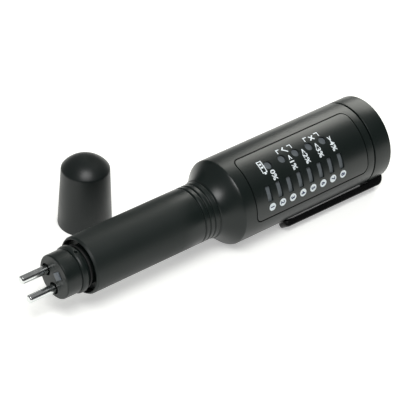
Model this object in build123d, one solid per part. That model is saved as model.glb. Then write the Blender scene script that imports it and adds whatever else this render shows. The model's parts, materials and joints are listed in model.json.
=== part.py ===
"""Pen-shaped battery and brake fluid tester, lying on its side, with its probe cap stood beside it.

Everything but the cap is first drawn in the tester's own frame: X runs along the axis from the
nose's face to the tail, Z points through the middle of the display panel and Y is to its side.
lay_down() then turns the tester onto its side, so that it rests on its body and its pocket clip.
Millimetres throughout, and angles round the body in degrees from the middle of the panel.
Stations along the axis follow from one another, so a longer piece moves all that is behind it.
"""

import os
from math import acos, cos, degrees, radians, sin, sqrt, tan

from build123d import *

# Fits
SLIP = 0.05  # radial clearance of parts pushed together by hand
GLUE = 0.03  # clearance round parts that are bonded in place
TOUCH = 0.02  # clearance of parts that only bear on each other

# Housing: a slim barrel that flares into a wide body
BARREL_R = 10.0
BODY_R = 15.2
WALL = 1.6
BARREL_LENGTH = 49.7
BARREL_EDGE = 1.0
BARREL_EDGE_DEPTH = 0.3
FLARE_LENGTH = 9.4
FLARE_LEAD_IN = 5.2
FLARE_LEAD_OUT = 1.3
RIB_COUNT = 4
RIB_PITCH = 2.05
RIB_GROOVE = 0.45
RIB_SETBACK = 3.9
HOUSING_PAST_CELLS = 4.4

# Nose: the piece that is dipped, with a collar that the cap stops on
COLLAR_STEP = 0.6
COLLAR_RISE = 1.7
COLLAR_BACK = 8.7
COLLAR_ROUND = 1.0
COLLAR_GAP = 1.0
NOSE_CHAMFER = 0.4
NOSE_SPIGOT_LENGTH = 8.3
NOSE_FLOOR = 12.0
PIP_ANGLE = 40.0
PIP_R = 0.9
PIP_DEPTH = 0.3
NOSE_SEAL = 0.9

# Probe pins and the light block between them
PIN_R = 1.5
PIN_LENGTH = 10.2
PIN_BEVEL = 0.35
PIN_SIDE = 3.3
PIN_DROP = 2.7
PIN_ROOT_R = 1.1
PIN_SHANK_R = 0.8
PIN_SHANK_LENGTH = 5.0
BLOCK_SIZE = 2.7
BLOCK_RISE = 2.6
BLOCK_PROUD = 0.4
BLOCK_DEPTH = 1.5

# Display panel, set in a shallow recess that runs round the body
PANEL_FRONT_MARGIN = 4.7
PANEL_BACK_MARGIN = 3.3
PANEL_HALF_ANGLE = 46.5
PANEL_CORNER = 2.0
PANEL_THICKNESS = 0.4
PANEL_GAP = 0.2
LAMP_COUNT = 5
LAMP_INSET = 10.3
LAMP_PITCH = 6.13
LAMP_ANGLE = 21.3
LAMP_R = 1.25
SLOT_COUNT = 8
SLOT_INSET = 6.1
SLOT_PITCH = 4.62
SLOT_ANGLE = -13.5
SLOT_WIDTH = 1.8
SLOT_SPAN = 5.5
LENS_RECESS = 0.35
LENS_INSIDE = 0.3

# Circuit board and what stands on it
BOARD_OVERHANG = 1.0
BOARD_CLEARANCE = 0.28
BOARD_THICKNESS = 1.0
BOARD_DROP = 4.3
RAIL_DEPTH = 1.2
RAIL_THICKNESS = 1.2
LED_LENGTH = 2.0
LED_WIDTH = 1.25
LED_HEIGHT = 0.9
CHIP_LENGTH = 6.2
CHIP_WIDTH = 5.0
CHIP_HEIGHT = 1.5
CHIP_INSET = 11.5

# Battery: two AAA cells side by side in a carrier
CELL_R = 5.25
CELL_LENGTH = 44.5
CELL_NUB_R = 1.9
CELL_NUB = 0.8
CELL_SETBACK = 9.2
CELL_GAP = 0.2
CELL_DROP = 2.0
CARRIER_WALL = 2.0
CARRIER_TOP = -4.0
CARRIER_WALL_TOP = 4.0
CONTACT_THICKNESS = 0.4
CONTACT_SIZE = 7.0
BATTERY_SPRING_LENGTH = 3.5
BATTERY_SPRING_R = 1.5
BATTERY_SPRING_TURNS = 2
SPRING_WIRE = 0.5

# Leads from the pins to the board
LEAD_R = 0.6
LEAD_BEND_SETBACK = 7.4
LEAD_RISE_MARGIN = 2.5
LEAD_ON_BOARD = 3.5

# Tail cap with its push button
TAIL_GAP = 0.6
TAIL_LENGTH = 7.5
TAIL_ROUND = 2.4
TAIL_SPIGOT = 8.0
TAIL_SPIGOT_WALL = 1.5
TAIL_SEAL = 0.86
TAIL_SEAL_SETBACK = 2.9
TAIL_FLOOR = 2.0
SWITCH_PLATE_THICKNESS = 1.0
SWITCH_LEDGE = 2.0
SWITCH_SIZE = 6.0
SWITCH_HEIGHT = 3.2
SWITCH_STEM_R = 1.6
SWITCH_STEM = 0.4
BUTTON_R = 4.0
BUTTON_LIP = 1.5
BUTTON_FLANGE = 1.1
BUTTON_SUNK = 0.2
BUTTON_PLAY = 0.1
BUTTON_EDGE = 0.4
BUTTON_SPRING_INSET = 0.6
BUTTON_SPRING_TURNS = 3

# Pocket clip, on the side of the body that is a quarter turn from the panel
CLIP_LENGTH = 45.9
CLIP_WIDTH = 5.0
CLIP_GAP = 0.35
CLIP_THICKNESS = 2.15
CLIP_SINK = 0.4
CLIP_ROOT_LENGTH = 5.9
CLIP_SETBACK = 1.1
CLIP_TAIL_ROUND = 2.0
CLIP_TIP_ROUND = 1.6
CLIP_PLAN_ROUND = 1.8
CLIP_BUMP_INSET = 4.0
CLIP_BUMP_R = 2.4
CLIP_BUMP_GAP = 0.05
CLIP_EDGE = 0.35
CLIP_SEAT_MARGIN = 0.3

# Probe cap, stood on its mouth
CAP_TAPER = 1.0
CAP_RIM_HEIGHT = 22.4
CAP_DOME_RISE = 4.3
CAP_WALL = 1.5
CAP_MOUTH_DEPTH = 8.0
CAP_MOUTH_CHAMFER = 0.5
CAP_SETBACK = 29.1
CAP_STANDOFF = 9.8

# How the tester lies
LIE_ANGLE = 50.0  # turn about the axis that brings the clip's edge down to the table

# Radii
BORE_R = BARREL_R - WALL
BODY_BORE_R = BODY_R - WALL
CUT_R = BODY_R + 1  # where cutters that come in from outside begin
RECESS_R = BODY_R - PANEL_THICKNESS
LENS_TOP_R = BODY_R - LENS_RECESS
LENS_BASE_R = BODY_BORE_R - LENS_INSIDE
COLLAR_R = BARREL_R - COLLAR_STEP
NOSE_R = COLLAR_R - COLLAR_RISE
TAIL_SPIGOT_R = BODY_BORE_R - SLIP
TAIL_BORE_R = TAIL_SPIGOT_R - TAIL_SPIGOT_WALL
BUTTON_FLANGE_R = BUTTON_R + BUTTON_LIP
CLIP_INNER = BODY_R + CLIP_GAP
CLIP_OUTER = CLIP_INNER + CLIP_THICKNESS
CLIP_SEAT = BODY_R - CLIP_SINK
CAP_BASE_R = COLLAR_R
CAP_RIM_R = CAP_BASE_R - CAP_TAPER

# Stations along the axis, from the nose's face back
BARREL_START = COLLAR_BACK + COLLAR_GAP
FLARE_START = BARREL_START + BARREL_LENGTH
FLARE_END = FLARE_START + FLARE_LENGTH
RIB_FIRST = FLARE_START - RIB_SETBACK
CELL_START = FLARE_END + CELL_SETBACK
CELL_END = CELL_START + CELL_LENGTH
HOUSING_END = CELL_END + HOUSING_PAST_CELLS
PANEL_START = FLARE_END + PANEL_FRONT_MARGIN
PANEL_END = HOUSING_END - PANEL_BACK_MARGIN
LAMP_FIRST = PANEL_START + LAMP_INSET
SLOT_FIRST = PANEL_START + SLOT_INSET
TAIL_START = HOUSING_END + TAIL_GAP
TAIL_END = TAIL_START + TAIL_LENGTH
TAIL_FLOOR_START = TAIL_END - TAIL_FLOOR
TAIL_SPIGOT_START = TAIL_START - TAIL_SPIGOT
TAIL_SEAL_AT = HOUSING_END - TAIL_SEAL_SETBACK
SWITCH_PLATE_START = CELL_END + BATTERY_SPRING_LENGTH
SWITCH_PLATE_END = SWITCH_PLATE_START + SWITCH_PLATE_THICKNESS
CONTACT_START = CELL_START - CONTACT_THICKNESS
CARRIER_FACE = CONTACT_START - TOUCH
CARRIER_START = CARRIER_FACE - CARRIER_WALL
CARRIER_END = TAIL_SPIGOT_START - CARRIER_WALL / 4
BOARD_START = PANEL_START - BOARD_OVERHANG
BOARD_END = TAIL_SPIGOT_START - BOARD_OVERHANG
CLIP_END = TAIL_END - CLIP_SETBACK
CLIP_TIP = CLIP_END - CLIP_LENGTH
CAP_PLACE_X = BARREL_START + CAP_SETBACK

# Across the body
BOARD_HEIGHT = BODY_BORE_R - BOARD_DROP
BOARD_EDGE = sqrt(BODY_BORE_R**2 - (BOARD_HEIGHT + BOARD_THICKNESS) ** 2) - BOARD_CLEARANCE
CELL_SIDE = CELL_R + CELL_GAP / 2
CAP_Y = BODY_R + CAP_STANDOFF + CAP_BASE_R
X_MIDDLE = (TAIL_END - PIN_LENGTH) / 2
Y_MIDDLE = (CAP_Y + CAP_BASE_R - BODY_R) / 2


def face_of(*lines):
    """The flat face inside lines that follow each other."""
    return make_face([edge for line in lines for edge in line.edges()])


def turned(*outline):
    """A solid turned about the tester's axis from edges or (station, radius) points."""
    if isinstance(outline[0], tuple):
        outline = (Polyline(*outline, close=True),)
    return revolve(face_of(*outline), Axis.X)


def round_off(centre, radius, angles):
    """Points on a rounded corner, at angles in degrees from the outward direction."""
    return [
        (centre[0] + radius * sin(radians(a)), centre[1] + radius * cos(radians(a))) for a in angles
    ]


def rod(start, end, radius, y=0.0, z=0.0):
    """A round bar along X."""
    return extrude(Plane.YZ.offset(start) * Pos(y, z) * Circle(radius), end - start)


def block(x, y, z):
    """A box from its three (low, high) pairs."""
    size = [high - low for low, high in (x, y, z)]
    middle = [(low + high) / 2 for low, high in (x, y, z)]
    return Pos(*middle) * Box(*size)


def band(start, end, inner, outer):
    """A ring of square section about the axis."""
    return rod(start, end, outer) - rod(start, end, inner)


def coil(start, end, radius, turns, y=0.0, z=0.0):
    """A coil spring along X, with its square wire's outside between the two stations."""
    length = end - start - SPRING_WIRE
    path = Helix(length / turns, length, radius)
    wire = sweep((path ^ 0) * Rectangle(SPRING_WIRE, SPRING_WIRE), path)
    return Pos(start + SPRING_WIRE / 2, y, z) * Rot(Y=90) * wire


def radial(angle, station, shape):
    """Carries a shape drawn on +Z to an angle round the body and a station along it."""
    return Rot(X=-angle) * Pos(station, 0, 0) * shape


def lamp_plug(slack):
    """The round window's outline as a bar along +Z."""
    return extrude(Circle(LAMP_R + slack), CUT_R)


def slot_plug(slack):
    """The slot window's outline as a bar along +Z."""
    return extrude(Rectangle(SLOT_WIDTH + 2 * slack, SLOT_SPAN + 2 * slack), CUT_R)


def windows(slack):
    """Every window's plug, first the lamps and then the slots."""
    lamps = [
        radial(LAMP_ANGLE, LAMP_FIRST + i * LAMP_PITCH, lamp_plug(slack)) for i in range(LAMP_COUNT)
    ]
    slots = [
        radial(SLOT_ANGLE, SLOT_FIRST + i * SLOT_PITCH, slot_plug(slack)) for i in range(SLOT_COUNT)
    ]
    return lamps, slots


def panel_prism(slack):
    """The panel's outline, seen from above, as a bar along +Z."""
    length = PANEL_END - PANEL_START + 2 * slack
    width = 2 * BODY_R * sin(radians(PANEL_HALF_ANGLE)) + 2 * slack
    middle = (PANEL_START + PANEL_END) / 2
    return Pos(middle, 0, 0) * extrude(RectangleRounded(length, width, PANEL_CORNER + slack), CUT_R)


def panel_ring(inner, outer):
    """The part of a tube along the panel's length, a little longer than the panel."""
    return band(PANEL_START - 1, PANEL_END + 1, inner, outer)


def make_housing():
    flare = Bezier(
        (FLARE_START, BARREL_R),
        (FLARE_START + FLARE_LEAD_IN, BARREL_R),
        (FLARE_END - FLARE_LEAD_OUT, BODY_R),
        (FLARE_END, BODY_R),
    )
    edge_end = BARREL_START + BARREL_EDGE
    front = Polyline(
        (BARREL_START, BORE_R),
        (BARREL_START, BARREL_R - BARREL_EDGE_DEPTH),
        (edge_end, BARREL_R),
        (FLARE_START, BARREL_R),
    )
    back = Polyline(
        (FLARE_END, BODY_R),
        (HOUSING_END, BODY_R),
        (HOUSING_END, BODY_BORE_R),
        (FLARE_END + WALL, BODY_BORE_R),
        (FLARE_START + 2 * WALL, BORE_R),
        (BARREL_START, BORE_R),
    )
    shell = turned(front, flare, back)
    ribs = [RIB_FIRST + i * RIB_PITCH for i in range(RIB_COUNT)]
    grooves = [
        band(middle - RIB_GROOVE, middle + RIB_GROOVE, BARREL_R - RIB_GROOVE, BODY_R)
        for middle in ribs
    ]
    recess = panel_prism(PANEL_GAP) & panel_ring(RECESS_R, CUT_R)
    lamps, slots = windows(GLUE)
    shell = shell - grooves - recess - lamps - slots
    rails = [
        block(
            (BOARD_START + 1, BOARD_END),
            sorted((side * (BOARD_EDGE - RAIL_DEPTH), side * BODY_R)),
            (BOARD_HEIGHT - RAIL_THICKNESS - TOUCH, BOARD_HEIGHT - TOUCH),
        )
        & rod(BOARD_START, BOARD_END + 1, BODY_BORE_R + WALL / 2)
        for side in (-1, 1)
    ]
    return shell + rails


def make_nose():
    round_start = (COLLAR_BACK - COLLAR_ROUND, COLLAR_R - COLLAR_ROUND * tan(radians(22.5)))
    cone_foot = round_start[0] - (round_start[1] - NOSE_R)
    spigot_r = BORE_R - SLIP
    spigot_end = BARREL_START + NOSE_SPIGOT_LENGTH
    body = turned(
        (0, 0),
        (0, NOSE_R - NOSE_CHAMFER),
        (NOSE_CHAMFER, NOSE_R),
        (cone_foot, NOSE_R),
        round_start,
        (COLLAR_BACK, COLLAR_R),
        (COLLAR_BACK, spigot_r),
        (spigot_end, spigot_r),
        (spigot_end, spigot_r - WALL),
        (NOSE_FLOOR, spigot_r - WALL),
        (NOSE_FLOOR, 0),
    )
    hole_r = PIN_ROOT_R + TOUCH
    holes = [rod(-1, NOSE_FLOOR + 1, hole_r, side * PIN_SIDE, -PIN_DROP) for side in (-1, 1)]
    half = BLOCK_SIZE / 2 + GLUE
    pocket = block((-1, BLOCK_DEPTH + GLUE), (-half, half), (BLOCK_RISE - half, BLOCK_RISE + half))
    face_x = (cone_foot + round_start[0]) / 2
    face_r = (NOSE_R + round_start[1]) / 2
    drill = Pos(0, 0, face_r) * Rot(Y=-45) * Pos(0, 0, -PIP_DEPTH) * extrude(Circle(PIP_R), PIP_R)
    return body - holes - pocket - radial(PIP_ANGLE, face_x, drill)


def make_probe_pin(side):
    end = NOSE_FLOOR + PIN_SHANK_LENGTH
    pin = turned(
        (-PIN_LENGTH, 0),
        (-PIN_LENGTH, PIN_R - PIN_BEVEL),
        (PIN_BEVEL - PIN_LENGTH, PIN_R),
        (-TOUCH, PIN_R),
        (-TOUCH, PIN_ROOT_R),
        (NOSE_FLOOR, PIN_ROOT_R),
        (NOSE_FLOOR, PIN_SHANK_R),
        (end, PIN_SHANK_R),
        (end, 0),
    )
    return Pos(0, side * PIN_SIDE, -PIN_DROP) * pin


def make_probe_lead(side):
    """A lead that is bent twice, up from its pin to the underside of the board."""
    start = NOSE_FLOOR + PIN_SHANK_LENGTH + TOUCH
    top = BOARD_HEIGHT - LEAD_R - TOUCH
    path = Plane.XZ * Polyline(
        (start, -PIN_DROP),
        (FLARE_START - LEAD_BEND_SETBACK, -PIN_DROP),
        (BOARD_START - LEAD_RISE_MARGIN, top),
        (BOARD_START + LEAD_ON_BOARD, top),
    )
    end = Plane.YZ.offset(start) * Pos(0, -PIN_DROP) * Circle(LEAD_R)
    return Pos(0, side * PIN_SIDE, 0) * sweep(end, path, transition=Transition.RIGHT)


def make_light_block():
    half = BLOCK_SIZE / 2
    body = block((-BLOCK_PROUD, BLOCK_DEPTH), (-half, half), (BLOCK_RISE - half, BLOCK_RISE + half))
    return chamfer(body.faces().sort_by(Axis.X)[0].edges(), BLOCK_PROUD / 2)


def make_panel():
    lamps, slots = windows(0.0)
    return (panel_prism(0.0) & panel_ring(RECESS_R + TOUCH, BODY_R)) - lamps - slots


def make_lens(plug):
    return plug & panel_ring(LENS_BASE_R, LENS_TOP_R)


def make_board():
    return block(
        (BOARD_START, BOARD_END),
        (-BOARD_EDGE, BOARD_EDGE),
        (BOARD_HEIGHT, BOARD_HEIGHT + BOARD_THICKNESS),
    )


def make_led(angle, station):
    y = BODY_BORE_R * sin(radians(angle))
    top = BOARD_HEIGHT + BOARD_THICKNESS + TOUCH
    return Pos(station, y, top + LED_HEIGHT / 2) * Box(LED_LENGTH, LED_WIDTH, LED_HEIGHT)


def make_chip():
    under = BOARD_HEIGHT - TOUCH
    half = CHIP_WIDTH / 2
    start = BOARD_START + CHIP_INSET
    return block((start, start + CHIP_LENGTH), (-half, half), (under - CHIP_HEIGHT, under))


def make_cell(side):
    """One AAA cell. The two lie head to tail, so the nub changes ends."""
    cell = rod(CELL_START + CELL_NUB, CELL_END, CELL_R) + rod(CELL_START, CELL_END, CELL_NUB_R)
    if side > 0:
        cell = mirror(cell, Plane.YZ.offset((CELL_START + CELL_END) / 2))
    return Pos(0, side * CELL_SIDE, -CELL_DROP) * cell


def make_carrier():
    tray_r = BODY_BORE_R - SLIP
    tray = rod(CARRIER_START, CARRIER_END, tray_r) & block(
        (CARRIER_START, CARRIER_END), (-BODY_R, BODY_R), (-BODY_R, CARRIER_TOP)
    )
    wall = rod(CARRIER_START, CARRIER_FACE, tray_r) & block(
        (CARRIER_START, CARRIER_FACE), (-BODY_R, BODY_R), (-BODY_R, CARRIER_WALL_TOP)
    )
    bays = [
        rod(CARRIER_FACE, CARRIER_END + 1, CELL_SIDE, side * CELL_SIDE, -CELL_DROP)
        for side in (-1, 1)
    ]
    return tray + wall - bays


def make_contact(side):
    half = CONTACT_SIZE / 2
    plate = block((CONTACT_START, CELL_START - TOUCH / 2), (-half, half), (-half, half))
    return Pos(0, side * CELL_SIDE, -CELL_DROP) * plate


def make_battery_spring(side):
    start, end = CELL_END + TOUCH, SWITCH_PLATE_START - TOUCH
    return coil(
        start,
        end,
        BATTERY_SPRING_R,
        BATTERY_SPRING_TURNS,
        side * CELL_SIDE,
        -CELL_DROP,
    )


def make_tail_cap():
    inner_r = TAIL_BORE_R - SWITCH_LEDGE
    corner = (TAIL_END - TAIL_ROUND, BODY_R - TAIL_ROUND)
    cap = turned(
        (TAIL_SPIGOT_START, TAIL_BORE_R),
        (TAIL_SPIGOT_START, TAIL_SPIGOT_R),
        (TAIL_START, TAIL_SPIGOT_R),
        (TAIL_START, BODY_R),
        *round_off(corner, TAIL_ROUND, (0, 30, 60, 90)),
        (TAIL_END, BUTTON_R + SLIP),
        (TAIL_FLOOR_START, BUTTON_R + SLIP),
        (TAIL_FLOOR_START, inner_r),
        (SWITCH_PLATE_END, inner_r),
        (SWITCH_PLATE_END, TAIL_BORE_R),
    )
    groove_r = BODY_BORE_R - TAIL_SEAL - 2 * TOUCH
    groove_half = TAIL_SEAL / 2 + TOUCH
    groove = band(TAIL_SEAL_AT - groove_half, TAIL_SEAL_AT + groove_half, groove_r, BODY_R)
    seat_half = CLIP_WIDTH / 2 + CLIP_SEAT_MARGIN
    seat = block(
        (CLIP_END - CLIP_ROOT_LENGTH - CLIP_SEAT_MARGIN, TAIL_END + 1),
        (-BODY_R - 1, -CLIP_SEAT + TOUCH / 2),
        (-seat_half, seat_half),
    )
    return cap - groove - seat


def make_tail_seal():
    half = TAIL_SEAL / 2
    outer = BODY_BORE_R - TOUCH
    return band(TAIL_SEAL_AT - half, TAIL_SEAL_AT + half, outer - TAIL_SEAL, outer)


def make_nose_seal():
    inner = BORE_R - SLIP + TOUCH
    return band(COLLAR_BACK + TOUCH, BARREL_START - TOUCH, inner, inner + NOSE_SEAL)


def make_switch_plate():
    return rod(SWITCH_PLATE_START, SWITCH_PLATE_END - TOUCH, TAIL_BORE_R - GLUE)


def make_switch():
    half = SWITCH_SIZE / 2
    top = SWITCH_PLATE_END + SWITCH_HEIGHT
    body = block((SWITCH_PLATE_END, top), (-half, half), (-half, half))
    return body + rod(top, top + SWITCH_STEM, SWITCH_STEM_R)


def make_button():
    flange_end = TAIL_FLOOR_START - BUTTON_PLAY
    button = turned(
        (flange_end - BUTTON_FLANGE, 0),
        (flange_end - BUTTON_FLANGE, BUTTON_FLANGE_R),
        (flange_end, BUTTON_FLANGE_R),
        (flange_end, BUTTON_R),
        (TAIL_END - BUTTON_SUNK, BUTTON_R),
        (TAIL_END - BUTTON_SUNK, 0),
    )
    return chamfer(button.edges().group_by(Axis.X)[-1], BUTTON_EDGE)


def make_button_spring():
    end = TAIL_FLOOR_START - BUTTON_PLAY - BUTTON_FLANGE - TOUCH
    start = SWITCH_PLATE_END + TOUCH
    return coil(start, end, BUTTON_FLANGE_R - BUTTON_SPRING_INSET, BUTTON_SPRING_TURNS)


def make_clip():
    """A moulded bar with a foot on the tail cap and a bump near its free end."""
    side = [
        (CLIP_TIP, CLIP_INNER),
        (CLIP_END - CLIP_ROOT_LENGTH, CLIP_INNER),
        (CLIP_END - CLIP_ROOT_LENGTH, CLIP_SEAT),
        (CLIP_END, CLIP_SEAT),
        (CLIP_END, CLIP_OUTER),
        (CLIP_TIP, CLIP_OUTER),
    ]
    outline = face_of(Polyline(*side, close=True))
    corners = outline.vertices()
    outline = fillet([v for v in corners if v.X == CLIP_END and v.Y == CLIP_OUTER], CLIP_TAIL_ROUND)
    corners = outline.vertices()
    outline = fillet([v for v in corners if v.X == CLIP_TIP and v.Y == CLIP_OUTER], CLIP_TIP_ROUND)
    bar = extrude(outline, CLIP_WIDTH / 2, both=True)
    bump_centre = BODY_R + CLIP_BUMP_GAP + CLIP_BUMP_R
    bump = Pos(CLIP_TIP + CLIP_BUMP_INSET, bump_centre, 0) * Cylinder(CLIP_BUMP_R, CLIP_WIDTH)
    under = block((CLIP_TIP, CLIP_END), (0, CLIP_OUTER - CLIP_EDGE), (-CLIP_WIDTH, CLIP_WIDTH))
    plan = RectangleRounded(2 * CLIP_LENGTH, CLIP_WIDTH, CLIP_PLAN_ROUND)
    plan = extrude(Plane.XZ * Pos(CLIP_END, 0) * plan, CLIP_OUTER + 1, both=True)
    return Rot(X=180) * ((bar + (bump & under)) & plan)


def make_cap():
    """The cap as it stands, mouth down. It is turned about X and then stood up."""
    dome_r = (CAP_RIM_R**2 + CAP_DOME_RISE**2) / (2 * CAP_DOME_RISE)
    top = CAP_RIM_HEIGHT + CAP_DOME_RISE
    edge = degrees(acos(CAP_RIM_R / dome_r))
    steps = [edge + (90 - edge) * share for share in (0, 0.3, 0.6)]
    mouth_r = NOSE_R + SLIP
    inner_r = CAP_RIM_R - CAP_WALL
    inner_top = CAP_RIM_HEIGHT - CAP_WALL
    cap = turned(
        (0, 0),
        (0, CAP_BASE_R),
        *round_off((top - dome_r, 0), dome_r, steps),
        (top, 0),
    )
    mouth = turned(
        (0, 0),
        (0, mouth_r + CAP_MOUTH_CHAMFER),
        (CAP_MOUTH_CHAMFER, mouth_r),
        (CAP_MOUTH_DEPTH, mouth_r),
        (CAP_MOUTH_DEPTH, inner_r),
        (inner_top, inner_r),
        (inner_top, 0),
    )
    return Rot(Y=-90) * (cap - mouth)


def lay_down(shape):
    """Turns the tester onto its side and puts the origin under the middle of the whole set."""
    return Pos(-X_MIDDLE, -Y_MIDDLE, BODY_R) * Rot(X=LIE_ANGLE) * shape


def make_tester():
    """Every piece of the tester by name, in its own frame."""
    lamps, slots = windows(-GLUE)
    pieces = {
        "housing": make_housing(),
        "nose": make_nose(),
        "nose_seal": make_nose_seal(),
        "light_block": make_light_block(),
        "display_panel": make_panel(),
        "circuit_board": make_board(),
        "controller_chip": make_chip(),
        "battery_carrier": make_carrier(),
        "tail_cap": make_tail_cap(),
        "tail_seal": make_tail_seal(),
        "switch_plate": make_switch_plate(),
        "tail_switch": make_switch(),
        "push_button": make_button(),
        "button_spring": make_button_spring(),
        "pocket_clip": make_clip(),
    }
    for i, plug in enumerate(lamps):
        pieces[f"lamp_lens_{i + 1}"] = make_lens(plug)
        pieces[f"lamp_led_{i + 1}"] = make_led(LAMP_ANGLE, LAMP_FIRST + i * LAMP_PITCH)
    for i, plug in enumerate(slots):
        pieces[f"scale_lens_{i + 1}"] = make_lens(plug)
        pieces[f"scale_led_{i + 1}"] = make_led(SLOT_ANGLE, SLOT_FIRST + i * SLOT_PITCH)
    for number, side in ((1, -1), (2, 1)):
        pieces[f"probe_pin_{number}"] = make_probe_pin(side)
        pieces[f"probe_lead_{number}"] = make_probe_lead(side)
        pieces[f"battery_cell_{number}"] = make_cell(side)
        pieces[f"battery_contact_{number}"] = make_contact(side)
        pieces[f"battery_spring_{number}"] = make_battery_spring(side)
    return pieces


os.makedirs("parts", exist_ok=True)
set_pieces = {name: lay_down(shape) for name, shape in make_tester().items()}
set_pieces["probe_cap"] = Pos(CAP_PLACE_X - X_MIDDLE, CAP_Y - Y_MIDDLE, 0) * make_cap()
for name, shape in set_pieces.items():
    export_step(shape, f"parts/{name}.step")
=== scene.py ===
"""Pen-shaped battery and brake fluid tester on a white table, with its probe cap stood beside it.

Pieces of the tester are drawn in millimetres in its own frame and then laid down by LAY. In that
frame X runs from the nose's face to the tail, Z points through the middle of the display panel
and Y is to its side. Angles round the body are counted from the middle of the panel.
"""

import json
from math import atan2, ceil, cos, hypot, pi, radians, sin, sqrt, tan

import bmesh
import bpy
from mathutils import Matrix, Vector


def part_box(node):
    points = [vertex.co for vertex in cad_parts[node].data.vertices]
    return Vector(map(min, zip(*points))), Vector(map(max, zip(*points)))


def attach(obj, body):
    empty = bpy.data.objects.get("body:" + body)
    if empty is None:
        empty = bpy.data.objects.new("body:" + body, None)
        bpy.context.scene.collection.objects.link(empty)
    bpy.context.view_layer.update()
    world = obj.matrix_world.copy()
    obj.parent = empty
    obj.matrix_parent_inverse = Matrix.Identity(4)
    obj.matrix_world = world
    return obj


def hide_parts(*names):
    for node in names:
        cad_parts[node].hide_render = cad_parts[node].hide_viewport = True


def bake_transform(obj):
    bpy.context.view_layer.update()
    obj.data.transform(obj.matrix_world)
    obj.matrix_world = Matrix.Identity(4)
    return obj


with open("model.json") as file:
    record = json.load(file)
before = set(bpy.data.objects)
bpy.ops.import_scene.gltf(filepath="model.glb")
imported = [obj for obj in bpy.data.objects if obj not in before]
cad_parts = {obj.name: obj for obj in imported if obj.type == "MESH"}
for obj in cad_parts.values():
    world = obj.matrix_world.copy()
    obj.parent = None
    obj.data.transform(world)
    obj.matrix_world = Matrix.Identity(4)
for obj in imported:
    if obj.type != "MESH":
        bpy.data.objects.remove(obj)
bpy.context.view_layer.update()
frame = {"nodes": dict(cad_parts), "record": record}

# ------------------------------------------------------------------ places, from the frame

MM = 0.001
LIE = radians(50)

housing_low, housing_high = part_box("housing")
AXIS_Y = (housing_low.y + housing_high.y) / 2
AXIS_Z = (housing_low.z + housing_high.z) / 2
NOSE_FACE_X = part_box("nose")[0].x
BODY_R = (housing_high.z - housing_low.z) / 2 / MM
LAY = (
    Matrix.Translation((NOSE_FACE_X, AXIS_Y, AXIS_Z))
    @ Matrix.Rotation(LIE, 4, "X")
    @ Matrix.Scale(MM, 4)
)
cap_low, cap_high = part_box("probe_cap")
STAND = (
    Matrix.Translation(((cap_low.x + cap_high.x) / 2, (cap_low.y + cap_high.y) / 2, cap_low.z))
    @ Matrix.Rotation(radians(-90), 4, "Y")
    @ Matrix.Scale(MM, 4)
)


def station(node, end):
    """Where a node starts (0) or ends (1) along the tester's axis, in mm from the nose's face."""
    return (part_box(node)[end].x - NOSE_FACE_X) / MM


BARREL_START = station("housing", 0)
HOUSING_END = station("housing", 1)
TAIL_START = HOUSING_END + 0.6  # past the dark joint line
TAIL_END = station("tail_cap", 1)
PANEL_START = station("display_panel", 0)
PANEL_END = station("display_panel", 1)
NOSE_END = station("nose", 1)
PIN_TIP = station("probe_pin_1", 0)
CLIP_TIP = station("pocket_clip", 0)
CLIP_END = station("pocket_clip", 1)
CAP_TOP = (cap_high.z - cap_low.z) / MM
CAP_BASE_R = (cap_high.x - cap_low.x) / 2 / MM

# ------------------------------------------------------------------ mesh making

TURNS = 192  # facets round a turned piece
FILM = 0.03  # how thick a printed mark is


def settle(obj):
    """Applies an object's modifiers to its mesh."""
    graph = bpy.context.evaluated_depsgraph_get()
    mesh = bpy.data.meshes.new_from_object(obj.evaluated_get(graph))
    obj.modifiers.clear()
    obj.data = mesh
    return obj


def finished(obj, crease=32):
    """Merges doubles, turns faces outwards and shades smooth but for edges past an angle."""
    shape = bmesh.new()
    shape.from_mesh(obj.data)
    bmesh.ops.remove_doubles(shape, verts=shape.verts, dist=1e-5)
    bmesh.ops.recalc_face_normals(shape, faces=shape.faces)
    shape.to_mesh(obj.data)
    shape.free()
    obj.data.shade_smooth()
    obj.data.set_sharp_from_angle(angle=radians(crease))
    return obj


def from_points(name, points, faces):
    """An object at the origin from corners and faces."""
    mesh = bpy.data.meshes.new(name)
    mesh.from_pydata([tuple(p) for p in points], [], faces)
    obj = bpy.data.objects.new(name, mesh)
    bpy.context.scene.collection.objects.link(obj)
    return finished(obj)


def soften(corners, steps=6):
    """A closed outline, with every corner that names a third number rounded to that radius."""
    path = []
    for i, corner in enumerate(corners):
        here = Vector(corner[:2])
        if len(corner) < 3:
            path.append(here)
            continue
        back = (Vector(corners[i - 1][:2]) - here).normalized()
        ahead = (Vector(corners[(i + 1) % len(corners)][:2]) - here).normalized()
        half = back.angle(ahead) / 2
        centre = here + (back + ahead).normalized() * (corner[2] / sin(half))
        reach = corner[2] / tan(half)
        first, last = here + back * reach - centre, here + ahead * reach - centre
        turn = (atan2(last.y, last.x) - atan2(first.y, first.x) + pi) % (2 * pi) - pi
        for k in range(steps + 1):
            way = atan2(first.y, first.x) + turn * k / steps
            path.append(centre + Vector((cos(way), sin(way))) * corner[2])
    return path


def turned(name, corners):
    """A piece turned about X from a closed outline of (station, radius[, rounding])."""
    points, faces, rings = [], [], []
    for along, radius in soften(corners):
        if radius < 1e-6:
            rings.append([len(points)] * TURNS)
            points.append((along, 0, 0))
            continue
        rings.append(range(len(points), len(points) + TURNS))
        for k in range(TURNS):
            way = 2 * pi * k / TURNS
            points.append((along, radius * sin(way), radius * cos(way)))
    for ring, following in zip(rings, rings[1:] + rings[:1]):
        for k in range(TURNS):
            after = (k + 1) % TURNS
            loop = [ring[k], ring[after], following[after], following[k]]
            loop = list(dict.fromkeys(loop))
            if len(loop) > 2:
                faces.append(loop)
    return from_points(name, points, faces)


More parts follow.
